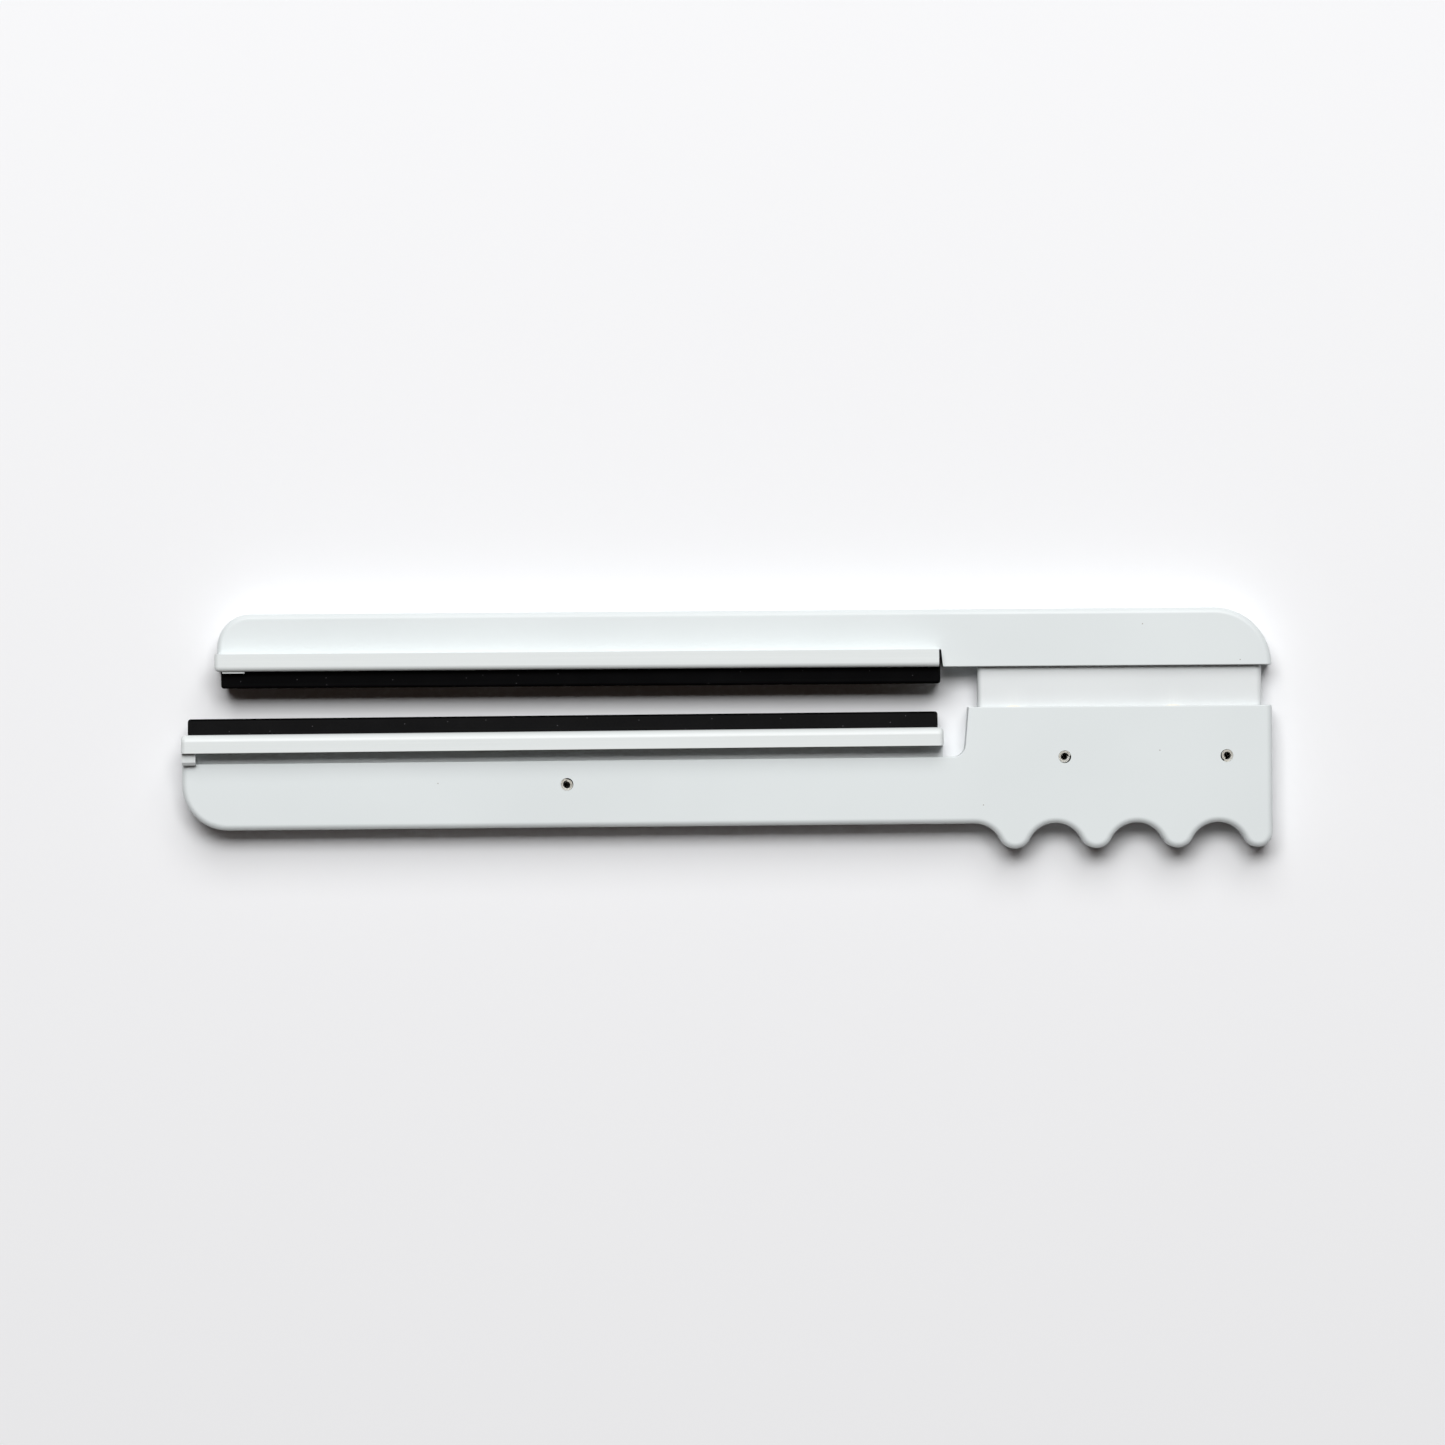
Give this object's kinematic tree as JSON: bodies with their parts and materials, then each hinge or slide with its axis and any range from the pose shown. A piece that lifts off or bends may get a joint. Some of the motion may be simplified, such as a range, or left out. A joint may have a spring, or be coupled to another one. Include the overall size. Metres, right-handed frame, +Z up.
{
  "type": "parallel jaw hand gripper",
  "caption": "Flat hand-squeezed gripper: a scalloped finger grip and a sliding palm rail close two long parallel rubber-faced jaws.",
  "frame": {"origin": "middle of the bottom of the whole object, on the flat back", "axes": "+X along the jaws towards the grip end, +Y across from the finger grip to the palm rail, +Z up out of the face"},
  "size_m": [0.3, 0.066, 0.017],
  "materials": {
    "shell_plastic": "fine satin moulded texture",
    "tongue_plastic": "smooth satin",
    "jaw_paint": "satin paint on an aluminium extrusion",
    "black_rubber": "matt extruded rubber",
    "spring_steel": "bright rolled spring steel",
    "steel_screw": "zinc plated",
    "acetal": "natural acetal"
  },
  "bodies": {
    "handle": {"handle_front_shell": "shell_plastic", "handle_rear_shell": "shell_plastic", "handle_screws": "steel_screw", "jaw_pivot_pin": "spring_steel", "inner_guide_pin": "spring_steel", "outer_guide_pin": "spring_steel", "inner_return_spring": "spring_steel", "outer_return_spring": "spring_steel", "inner_spring_rod": "spring_steel", "outer_spring_rod": "spring_steel"},
    "palm_rail": {"rail_front_shell": "shell_plastic", "rail_rear_shell": "shell_plastic", "rail_screws": "steel_screw", "slide_tongue": "tongue_plastic", "front_glides": "acetal", "rear_glides": "acetal", "upper_jaw_channel": "jaw_paint", "upper_jaw_rubber": "black_rubber", "upper_jaw_screws": "steel_screw"},
    "rocking_jaw": {"lower_jaw_channel": "jaw_paint", "lower_jaw_rubber": "black_rubber", "lower_jaw_screws": "steel_screw", "lower_jaw_web": "tongue_plastic", "pivot_bush": "acetal"}
  },
  "joints": [
    {"name": "rail_squeeze", "type": "slide", "parent": "handle", "child": "palm_rail", "axis": [0, -1, 0], "range_m": [0, 0.00725], "stiffness_N_per_m": 1200, "springref_m": -0.005, "deforming": ["inner_return_spring", "outer_return_spring"]},
    {"name": "jaw_rock", "type": "hinge", "parent": "handle", "child": "rocking_jaw", "pos_m": [-0.0441, -0.0144, 0.006], "axis": [0, 0, 1], "range_deg": [-0.55, 0.15]}
  ]
}
